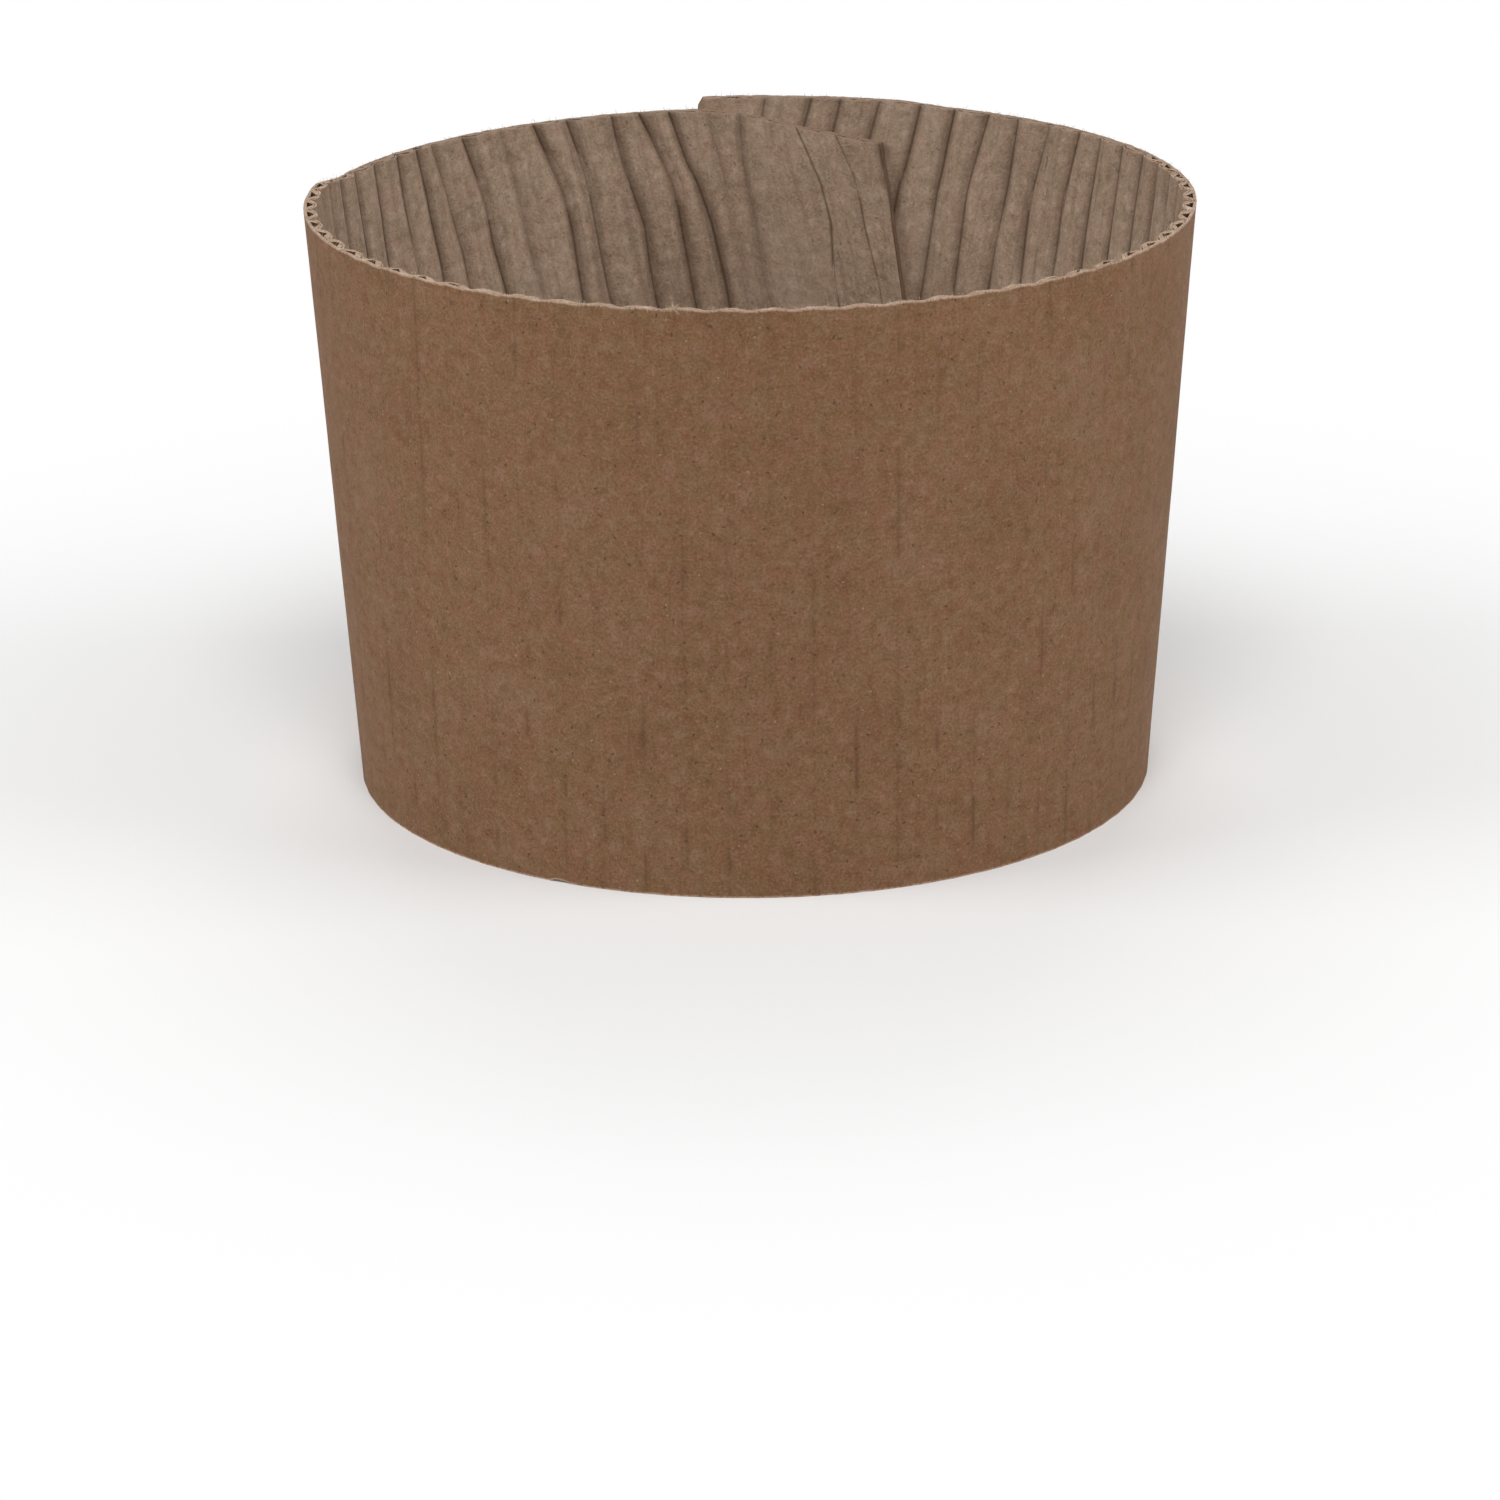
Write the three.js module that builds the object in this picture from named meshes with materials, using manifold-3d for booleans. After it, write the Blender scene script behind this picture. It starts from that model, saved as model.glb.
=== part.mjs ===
// Coffee cup sleeve: one blank of corrugated kraft board, rolled into a cone and glued at one lap.
// Millimetres, +Z up, narrow end down. The origin is the middle of the footprint, on the bottom edge.
//
// The board has a smooth outer liner, open flutes behind it, and an inner liner that the rolling has
// pressed into one crease a flute. In the flat blank the flutes are parallel, so on the cone they stand
// upright at the front and lean more and more towards the lap at the back.
import * as THREE from "three";
import { mergeVertices } from "three/addons/utils/BufferGeometryUtils.js";
import Module from "manifold-3d";

// Cone
const TOP_DIAMETER = 75.5; // outside, away from the lap
const BOTTOM_DIAMETER = 68.8;
const HEIGHT = 50.5;

// Board
const BOARD_THICKNESS = 1.2;
const OUTER_LINER = 0.28;
const INNER_LINER = 0.32; // with the fluting paper pressed against it
const FLUTE_PITCH = 3.5;
const FLUTE_WIDTH = 1.9; // of the open flute, where it meets the outer liner
const FLUTE_TIP_WIDTH = 0.64;
const FLUTE_SHOULDER = 0.8; // share of the flute's depth at which it has narrowed to its tip
const CREASE_DEPTH = 0.46; // of the inner liner between two flutes
const WASHBOARD_DEPTH = 0.03; // how far the outer liner sinks over each open flute

// Lap, at the back: the right end lies outside, the left end is a tab behind it
const OUTER_END_ANGLE = 187; // degrees from the front, by way of the right side
const TAB_END_ANGLE = 198; // degrees from the front, by way of the left side
const TAB_END_LEAN = 10; // degrees
const TAB_TAPER = 2.8; // how far each edge of the tab has drawn in at its end
const LAP_PRESS = 0.1; // how far the glue joint presses the two layers into each other
const STEP_ANGLE = 9; // over which the outer end climbs onto the tab
const STEP_CLEARANCE = 2; // degrees between that climb and the end of the tab
const LEFT_DROP = 0.87; // how much lower the left end was glued than the right end
const LEFT_DROP_START = 98; // degrees from the front, just behind the left fold
const LEFT_DROP_ANGLE = 12;
const CORNER_CUT = 1.2; // of the outer end's two corners
const CORNER_CUT_LEAN = 30; // degrees

// The crease's section: the share of its depth at each share of the way across a flute
const CREASE_SECTION = [
  [1, 1],
  [0.87, 0.42],
  [0.67, 0.08],
  [0.33, 0.08],
  [0.13, 0.42],
  [0, 1],
];

// Mesh
const HEIGHT_STEPS = 5;
const SPLIT_ANGLE = 60; // where the left end is built on to the rest, degrees from the front
const END_CUT_REACH = 0.85; // how far the cut at an end reaches sideways, in bottom radii
const END_CUT_HEIGHT = 3; // how tall it is, in heights of the sleeve
const WELD = 1e-5; // vertices closer than this are one

const radians = THREE.MathUtils.degToRad;
const topRadius = TOP_DIAMETER / 2;
const bottomRadius = BOTTOM_DIAMETER / 2;
const meanRadius = (topRadius + bottomRadius) / 2;
const halfAngle = Math.atan((topRadius - bottomRadius) / HEIGHT);
const apexDepth = bottomRadius / Math.tan(halfAngle); // the cone's point lies this far below the bottom edge
const layerOffset = BOARD_THICKNESS - LAP_PRESS;

const smooth = (x, start, end) => THREE.MathUtils.smoothstep(x, start, end);

/** Azimuth in degrees, from the front by way of the right side, of the flute line u at height z. */
function azimuthOf(u, z) {
  const slant = (z + apexDepth) / Math.cos(halfAngle);
  return THREE.MathUtils.radToDeg(Math.asin(u / slant) / Math.sin(halfAngle));
}

/** The flute line that passes through an azimuth in degrees at height z. */
function lineAt(azimuth, z) {
  const slant = (z + apexDepth) / Math.cos(halfAngle);
  return slant * Math.sin(radians(azimuth) * Math.sin(halfAngle));
}

/** How far into the tab a point at an azimuth is: 0 where the outer end stops, 1 at the tab's end. */
function tabShare(azimuth) {
  const start = 360 - OUTER_END_ANGLE;
  return Math.max(0, (-azimuth - start) / (TAB_END_ANGLE - start));
}

function topEdge(azimuth) {
  const drop = LEFT_DROP * smooth(-azimuth, LEFT_DROP_START, LEFT_DROP_START + LEFT_DROP_ANGLE);
  return HEIGHT - drop - TAB_TAPER * tabShare(azimuth);
}

function bottomEdge(azimuth) {
  return TAB_TAPER * tabShare(azimuth);
}

/** Share of the climb onto the tab: 0 on the cone itself, 1 where the board lies on the tab. */
function climb(azimuth, z) {
  const lean = Math.tan(radians(TAB_END_LEAN)) * (HEIGHT - z);
  const tabEnd = 360 - TAB_END_ANGLE - THREE.MathUtils.radToDeg(lean / meanRadius);
  const end = tabEnd - STEP_CLEARANCE;
  return smooth(azimuth, end - STEP_ANGLE, end);
}

/** The point of the rolled board on flute line u, at height z and a depth below the outer face. */
function rolledPoint(u, z, depth) {
  const azimuth = azimuthOf(u, z);
  const radius = (z + apexDepth) * Math.tan(halfAngle) + layerOffset * climb(azimuth, z) - depth;
  return [radius * Math.sin(radians(azimuth)), -radius * Math.cos(radians(azimuth)), z];
}

// One flute of the board from crease to crease, as points of across, 0 to 1, and depth.
const centred = (width) => [0.5 - width / FLUTE_PITCH / 2, 0.5 + width / FLUTE_PITCH / 2];
const [channelLeft, channelRight] = centred(FLUTE_WIDTH);
const [tipLeft, tipRight] = centred(FLUTE_TIP_WIDTH);
const tipDepth = BOARD_THICKNESS - INNER_LINER;
const shoulderDepth = THREE.MathUtils.lerp(OUTER_LINER, tipDepth, FLUTE_SHOULDER);

const outerFace = [
  { across: 0, depth: 0 },
  { across: 0.5, depth: WASHBOARD_DEPTH },
  { across: 1, depth: 0 },
];
const innerFace = CREASE_SECTION.map(([across, share]) => ({
  across,
  depth: BOARD_THICKNESS,
  crease: CREASE_DEPTH * share,
}));
const channel = [
  { across: channelLeft, depth: OUTER_LINER },
  { across: tipLeft, depth: shoulderDepth },
  { across: 0.5, depth: tipDepth },
  { across: tipRight, depth: shoulderDepth },
  { across: channelRight, depth: OUTER_LINER },
];
const flat = (points) => points.map((p) => new THREE.Vector2(p.across * FLUTE_PITCH, -p.depth + (p.crease ?? 0)));
const capTriangles = THREE.ShapeUtils.triangulateShape(flat([...outerFace, ...innerFace]), [flat(channel)]);

/** A closed mesh of the board from flute number first to flute number last. */
function boardStrip(first, last) {
  const positions = [];
  const triangles = [];

  /** Adds the vertices of one line along the flute and returns their numbers, bottom first. */
  function addLine(flute, { across, depth, crease = 0 }) {
    const u = (flute + across) * FLUTE_PITCH;
    const bottom = bottomEdge(azimuthOf(u, 0));
    const top = topEdge(azimuthOf(u, HEIGHT));
    return Array.from({ length: HEIGHT_STEPS + 1 }, (_, step) => {
      const z = THREE.MathUtils.lerp(bottom, top, step / HEIGHT_STEPS);
      const pressed = climb(azimuthOf(u, z), z);
      positions.push(...rolledPoint(u, z, depth - crease * (1 - pressed)));
      return positions.length / 3 - 1;
    });
  }

  /** Joins neighbouring lines with faces, seen from outside with the first line on the left. */
  function skin(lines) {
    for (let i = 1; i < lines.length; i += 1) {
      const [left, right] = [lines[i - 1], lines[i]];
      for (let step = 0; step < HEIGHT_STEPS; step += 1) {
        triangles.push(left[step], right[step], right[step + 1]);
        triangles.push(left[step], right[step + 1], left[step + 1]);
      }
    }
  }

  const shared = new Map(); // the two lines on each crease, used by the flutes on both sides
  function creaseLines(flute) {
    if (!shared.has(flute)) {
      shared.set(flute, { outer: addLine(flute, outerFace[0]), inner: addLine(flute, innerFace.at(-1)) });
    }
    return shared.get(flute);
  }

  for (let flute = first; flute < last; flute += 1) {
    const start = creaseLines(flute);
    const end = creaseLines(flute + 1);
    const outer = [start.outer, ...outerFace.slice(1, -1).map((p) => addLine(flute, p)), end.outer];
    const inner = [end.inner, ...innerFace.slice(1, -1).map((p) => addLine(flute, p)), start.inner];
    const hole = channel.map((p) => addLine(flute, p));
    skin(outer);
    skin(inner);
    skin([...hole, hole[0]]);
    const rim = [...outer, ...inner, ...hole];
    for (const [a, b, c] of capTriangles) {
      triangles.push(rim[a][HEIGHT_STEPS], rim[c][HEIGHT_STEPS], rim[b][HEIGHT_STEPS]);
      triangles.push(rim[a][0], rim[b][0], rim[c][0]);
    }
  }
  skin([creaseLines(first).inner, creaseLines(first).outer]);
  skin([creaseLines(last).outer, creaseLines(last).inner]);

  const geometry = new THREE.BufferGeometry();
  geometry.setAttribute("position", new THREE.Float32BufferAttribute(positions, 3));
  geometry.setIndex(triangles);
  return geometry;
}

/**
 * A block, width by height, that cuts the board off beyond a leaning line through an azimuth at height z.
 * It reaches from the axis to well outside the wall.
 */
function cutBlock(azimuth, z, lean, side, width, height) {
  const block = new THREE.BoxGeometry(width, topRadius * 2, height);
  block.translate((side * width) / 2, 0, 0);
  block.rotateY(radians(lean));
  block.translate(0, -topRadius, z);
  block.rotateZ(radians(azimuth));
  return block;
}

/** Takes off all that stands past an end, where the flutes fan out, but nothing of the strip's other end. */
function endCut(azimuth, z, lean, side) {
  return cutBlock(azimuth, z, lean, side, bottomRadius * END_CUT_REACH, HEIGHT * END_CUT_HEIGHT);
}

/** Takes off one corner of the outer end, with a block twice as long on each side as the cut itself. */
function cornerCut(z, lean) {
  const size = (4 * CORNER_CUT) / Math.cos(radians(lean));
  return cutBlock(OUTER_END_ANGLE, z, lean, 1, size, size);
}

const wasm = await Module();
wasm.setup();

/** A geometry as a solid for cutting and joining. */
function solidOf(geometry) {
  const bare = geometry.clone();
  bare.deleteAttribute("normal");
  bare.deleteAttribute("uv");
  const merged = mergeVertices(bare, WELD);
  return new wasm.Manifold(
    new wasm.Mesh({
      numProp: 3,
      vertProperties: merged.attributes.position.array,
      triVerts: new Uint32Array(merged.index.array),
    }),
  );
}

function geometryOf(solid) {
  const mesh = solid.getMesh();
  const geometry = new THREE.BufferGeometry();
  geometry.setAttribute("position", new THREE.BufferAttribute(mesh.vertProperties, 3));
  geometry.setIndex(new THREE.BufferAttribute(mesh.triVerts, 1));
  return geometry;
}

const fluteAt = (azimuth) => lineAt(azimuth, HEIGHT) / FLUTE_PITCH;
const splitFlute = Math.round(fluteAt(-SPLIT_ANGLE));
const lastFlute = Math.ceil(fluteAt(OUTER_END_ANGLE));
const firstFlute = Math.floor(fluteAt(-TAB_END_ANGLE));

/** The front, the right side and the outer end of the lap, with that end's corners cut. */
function wrap() {
  return [
    endCut(OUTER_END_ANGLE, 0, 0, 1),
    cornerCut(HEIGHT - CORNER_CUT, -CORNER_CUT_LEAN),
    cornerCut(CORNER_CUT, CORNER_CUT_LEAN),
  ].reduce((board, cutter) => board.subtract(solidOf(cutter)), solidOf(boardStrip(splitFlute, lastFlute)));
}

/** The left side of the back, with the tab at its end. It shares one flute with the rest. */
function tab() {
  const cutter = endCut(-TAB_END_ANGLE, HEIGHT, TAB_END_LEAN, -1);
  return solidOf(boardStrip(firstFlute, splitFlute + 1)).subtract(solidOf(cutter));
}

const kraft = new THREE.MeshStandardMaterial({ color: 0x795a43, roughness: 0.9, metalness: 0 });

/** The sleeve, moved so that the origin is in the middle of its footprint. */
function sleeve() {
  const mesh = new THREE.Mesh(geometryOf(wrap().add(tab())), kraft);
  mesh.name = "sleeve";
  mesh.geometry.computeBoundingBox();
  const middle = mesh.geometry.boundingBox.getCenter(new THREE.Vector3());
  mesh.position.set(-middle.x, -middle.y, 0);
  return mesh;
}

const part = new THREE.Group();
part.add(sleeve());

export default part;
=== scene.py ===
"""The looks of a coffee cup sleeve: corrugated board of three papers, rolled up and lapped at the back.

Sizes are in millimetres unless a name or a comment says otherwise. MM turns them into the scene's metres.
A point of the board is given by its flute line, its height and its depth below the outer face.
"""

import logging
import math
from collections.abc import Callable
from dataclasses import dataclass, field
from enum import Enum

import bpy
import numpy as np
from mathutils import Matrix, Vector


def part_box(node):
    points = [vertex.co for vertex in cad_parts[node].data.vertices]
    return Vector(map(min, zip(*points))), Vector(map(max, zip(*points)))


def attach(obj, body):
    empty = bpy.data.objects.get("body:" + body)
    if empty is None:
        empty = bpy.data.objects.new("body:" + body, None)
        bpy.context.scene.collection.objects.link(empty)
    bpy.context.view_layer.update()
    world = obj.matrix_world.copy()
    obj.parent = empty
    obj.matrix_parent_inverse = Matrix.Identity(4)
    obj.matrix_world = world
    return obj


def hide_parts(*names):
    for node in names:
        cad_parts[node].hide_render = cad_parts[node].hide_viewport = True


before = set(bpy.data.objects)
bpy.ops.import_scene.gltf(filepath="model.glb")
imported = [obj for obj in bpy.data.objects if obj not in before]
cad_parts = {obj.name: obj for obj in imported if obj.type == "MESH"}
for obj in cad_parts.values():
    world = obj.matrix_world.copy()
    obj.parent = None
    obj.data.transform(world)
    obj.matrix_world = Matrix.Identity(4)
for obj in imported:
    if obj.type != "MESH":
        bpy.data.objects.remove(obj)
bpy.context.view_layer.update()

MM = 0.001
NODE = "sleeve"
log = logging.getLogger("sleeve")

Grid = np.ndarray
Face = tuple[int, ...]
Triple = tuple[float, float, float]
Colour = Triple
Socket = bpy.types.NodeSocket

SHARP_ANGLE = 42.0


def smooth(x: Grid, start: float, end: float) -> Grid:
    """A soft step from 0 at start to 1 at end."""
    t = np.clip((np.asarray(x, float) - start) / (end - start), 0, 1)
    return t * t * (3 - 2 * t)


def linear(red: float, green: float, blue: float) -> Colour:
    """A colour of 0 to 255 as the linear numbers that a shader takes."""
    shares = (red / 255, green / 255, blue / 255)
    return tuple(s / 12.92 if s <= 0.04045 else ((s + 0.055) / 1.055) ** 2.4 for s in shares)


def value_noise(x: Grid, y: Grid, seed: int) -> Grid:
    """Smooth random values over a plane.

    Args:
        x: first coordinate, in cells of the pattern.
        y: second coordinate, in cells.
        seed: which pattern.

    Returns:
        Values from -1 to 1.
    """
    cells = 256
    table = np.random.default_rng(seed).uniform(-1, 1, (cells, cells))
    xi, yi = np.floor(x).astype(int), np.floor(y).astype(int)
    xf, yf = smooth(x - xi, 0, 1), smooth(y - yi, 0, 1)

    def corner(dx: int, dy: int) -> Grid:
        """The value at one corner of each point's cell."""
        return table[(xi + dx) % cells, (yi + dy) % cells]

    low = corner(0, 0) * (1 - xf) + corner(1, 0) * xf
    high = corner(0, 1) * (1 - xf) + corner(1, 1) * xf
    return low * (1 - yf) + high * yf


@dataclass(frozen=True)
class Cone:
    """The cone that the blank is rolled into.

    A flute line is named by its distance u from the front, measured across the flutes of the flat blank.
    Azimuths are in degrees from the front, by way of the right side.
    """

    top_diameter: float = 75.5
    bottom_diameter: float = 68.8
    height: float = 50.5

    @property
    def half_angle(self) -> float:
        """Half the angle at the cone's point, in radians."""
        return math.atan((self.top_diameter - self.bottom_diameter) / 2 / self.height)

    @property
    def apex_depth(self) -> float:
        """How far the cone's point lies below the bottom edge."""
        return self.bottom_diameter / 2 / math.tan(self.half_angle)

    def radius(self, z: Grid) -> Grid:
        """Radius of the outer face at height z."""
        return (z + self.apex_depth) * math.tan(self.half_angle)

    def azimuth_of(self, u: Grid, z: Grid) -> Grid:
        """Azimuth of flute line u at height z."""
        slant = (z + self.apex_depth) / math.cos(self.half_angle)
        return np.degrees(np.arcsin(u / slant) / math.sin(self.half_angle))

    def line_at(self, azimuth: Grid, z: Grid) -> Grid:
        """The flute line that passes through an azimuth at height z."""
        slant = (z + self.apex_depth) / math.cos(self.half_angle)
        return slant * np.sin(np.radians(azimuth) * math.sin(self.half_angle))


@dataclass(frozen=True)
class Board:
    """The section of the corrugated board, as depths below its outer face and widths across a flute."""

    thickness: float = 1.2
    outer_liner: float = 0.28
    inner_liner: float = 0.17
    pitch: float = 3.5
    channel_width: float = 1.9
    channel_tip: float = 0.9
    channel_power: float = 0.92
    washboard: float = 0.03
    slit: float = 0.03
    crease_slit: float = 0.1
    crease_slit_width: float = 0.35

    def channel(self, line: Grid) -> Grid:
        """Depth of the fluting's outer face: against the outer liner, and sunk into a V at each open flute.

        Args:
            line: flute lines, counted in flutes.

        Returns:
            Their depths.
        """
        off_middle = np.abs(line - np.floor(line) - 0.5) * self.pitch
        opened = np.clip(1 - off_middle / (self.channel_width / 2), 0, 1) ** self.channel_power
        return self.outer_liner + (self.channel_tip - self.outer_liner) * opened


@dataclass(frozen=True)
class Lap:
    """The glued lap at the back: the right end lies outside and the left end is a tab behind it.

    Angles are in degrees, those of the left end by way of the left side.
    """

    outer_end: float = 187.0
    tab_end: float = 198.0
    tab_lean: float = 10.0
    tab_taper: float = 2.8
    press: float = 0.1
    step_angle: float = 9.0
    step_clearance: float = 2.0
    left_drop: float = 0.87
    left_drop_start: float = 98.0
    left_drop_angle: float = 12.0
    corner_cut: float = 1.2
    corner_lean: float = 8.0
    corner_round: float = 0.32
    corner_power: float = 7.0


@dataclass(frozen=True)
class Nick:
    """The small nick that the die left in the bottom edge, placed by flute lines in millimetres."""

    start: float = -17.9
    end: float = -15.4
    height: float = 0.19
    rise: float = 0.35
    fall_after: float = 0.9


class Side(Enum):
    """The two ends of the blank."""

    LEFT = -1
    RIGHT = 1


@dataclass(frozen=True)
class Places:
    """Points of the blank: their lines in flutes, their distances across the flutes and their heights."""

    line: Grid
    u: Grid
    z: Grid


@dataclass
class Blank:
    """The rolled blank: where each point of the board lies in space."""

    cone: Cone
    board: Board
    lap: Lap
    axis: Vector
    nick: Nick = Nick()
    rim_wave: float = 0.045

    def nicked(self, u: Grid) -> Grid:
        """How far the bottom edge is raised at the nick.

        Args:
            u: distances across the flutes.

        Returns:
            The rise at each of them.
        """
        nick = self.nick
        raised = nick.height * smooth(u, nick.start, nick.start + nick.rise)
        return raised * (1 - smooth(u, nick.start + nick.fall_after, nick.end))

    def tab_share(self, azimuth: Grid) -> Grid:
        """How far into the tab an azimuth is: 0 where the outer end stops, 1 from the tab's end on."""
        start = 360 - self.lap.outer_end
        return np.clip((-azimuth - start) / (self.lap.tab_end - start), 0, 1)

    def top_edge(self, azimuth: Grid) -> Grid:
        """Height of the top edge, which drops where the left end was glued lower and tapers along the tab.

        Args:
            azimuth: azimuths at the top edge.

        Returns:
            Its heights there.
        """
        lap = self.lap
        drop_end = lap.left_drop_start + lap.left_drop_angle
        drop = lap.left_drop * smooth(-azimuth, lap.left_drop_start, drop_end)
        return self.cone.height - drop - lap.tab_taper * self.tab_share(azimuth)

    def bottom_edge(self, azimuth: Grid) -> Grid:
        """Height of the bottom edge."""
        return self.lap.tab_taper * self.tab_share(azimuth)

    def tab_end(self, z: Grid) -> Grid:
        """Azimuth of the tab's end, counted by way of the left side."""
        lean = math.tan(math.radians(self.lap.tab_lean)) * (self.cone.height - z)
        return self.lap.tab_end + np.degrees(lean / self.cone.radius(z))

    def climb(self, azimuth: Grid, z: Grid) -> Grid:
        """Share of the climb onto the tab: 0 on the cone itself, 1 where the board lies on the tab."""
        end = 360 - self.tab_end(z) - self.lap.step_clearance
        return smooth((azimuth - (end - self.lap.step_angle)) / self.lap.step_angle, 0, 1)

    def end_line(self, side: Side, z: Grid) -> Grid:
        """The flute line at which the blank ends.

        Args:
            side: which end.
            z: heights.

        Returns:
            The flute line at each height.
        """
        if side is Side.LEFT:
            return self.cone.line_at(-self.tab_end(z), z)
        lap = self.lap
        past_cut = np.maximum(np.maximum(z - (self.cone.height - lap.corner_cut), lap.corner_cut - z), 0)
        leaning = math.tan(math.radians(lap.corner_lean)) * past_cut
        rounding = lap.corner_round * (past_cut / lap.corner_cut) ** lap.corner_power
        return self.cone.line_at(lap.outer_end, z) - leaning - rounding

    def place(self, u: Grid, z: Grid, depth: Grid) -> Grid:
        """Points of the scene for points of the board.

        Args:
            u: distances across the flutes.
            z: heights.
            depth: depths below the outer face.

        Returns:
            The points, in metres.
        """
        azimuth = self.cone.azimuth_of(u, z)
        layer = (self.board.thickness - self.lap.press) * self.climb(azimuth, z)
        radius = self.cone.radius(z) + layer - depth
        angle = np.radians(azimuth)
        points = np.stack([radius * np.sin(angle), -radius * np.cos(angle), z], axis=-1)
        return points * MM + np.array(self.axis)


@dataclass(frozen=True)
class Fold:
    """One crease of the inner liner, from line rim at the top edge to line foot some millimetres below it.

    Lines are counted in flutes from the front. The core is the crease's sharp middle, and the flanks are its
    broad valley; both set how deep the crease is pressed and how much shade is painted into it.
    """

    rim: float
    foot: float
    core: float = 1.0
    flanks: float = 1.0


OWN_FOLDS = {
    -36: Fold(-35.5, -36.1, core=0.9, flanks=0.15),
    -35: Fold(-34.6, -35.0, core=0.9, flanks=0.15),
    -34: Fold(-34.0, -34.1, core=0.25, flanks=0.2),
    -33: Fold(-33.4, -33.1, core=0.6, flanks=1.1),
    -32: Fold(-31.5, -31.9, core=1.15, flanks=1.3),
    -31: Fold(-30.6, -31.2, core=1.15, flanks=1.3),
    -30: Fold(-29.85, -30.1, core=0.9, flanks=1.1),
    -29: Fold(-28.7, -28.9, core=1.0, flanks=1.1),
    -28: Fold(-27.7, -28.2, core=1.0, flanks=1.1),
    -27: Fold(-26.6, -26.9, core=0.4, flanks=0.8),
    -26: Fold(-25.45, -25.85, core=1.0, flanks=1.0),
    -25: Fold(-24.55, -24.6, core=0.7, flanks=0.8),
    24: Fold(23.95, 24.15),
    25: Fold(25.0, 25.25),
    26: Fold(26.15, 26.1),
    27: Fold(27.05, 27.25),
    28: Fold(28.05, 28.2),
    29: Fold(29.1, 29.3),
    30: Fold(30.25, 30.4),
    31: Fold(31.25, 31.3),
    32: Fold(32.05, 32.2),
    33: Fold(33.2, 33.1),
}
EXTRA_FOLDS = (
    Fold(-28.5, -28.75, core=0.15, flanks=0.7),
    Fold(-29.5, -29.8, core=0.15, flanks=0.7),
    Fold(-32.45, -32.5, core=0.2, flanks=0.7),
    Fold(-26.1, -26.4, core=0.5, flanks=0.4),
    Fold(-24.1, -24.2, core=0.5, flanks=0.5),
    Fold(25.0, 24.7, core=0.9, flanks=0.5),
    Fold(24.66, 24.62, core=0.5, flanks=0.0),
    Fold(24.56, 24.5, core=0.4, flanks=0.0),
    Fold(32.6, 32.6, core=0.6, flanks=0.5),
)


@dataclass
class Run:
    """A fold, with the wander of its path and the change of its depth at evenly spaced heights."""

    home: float
    fold: Fold
    wander: Grid
    level: Grid


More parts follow.
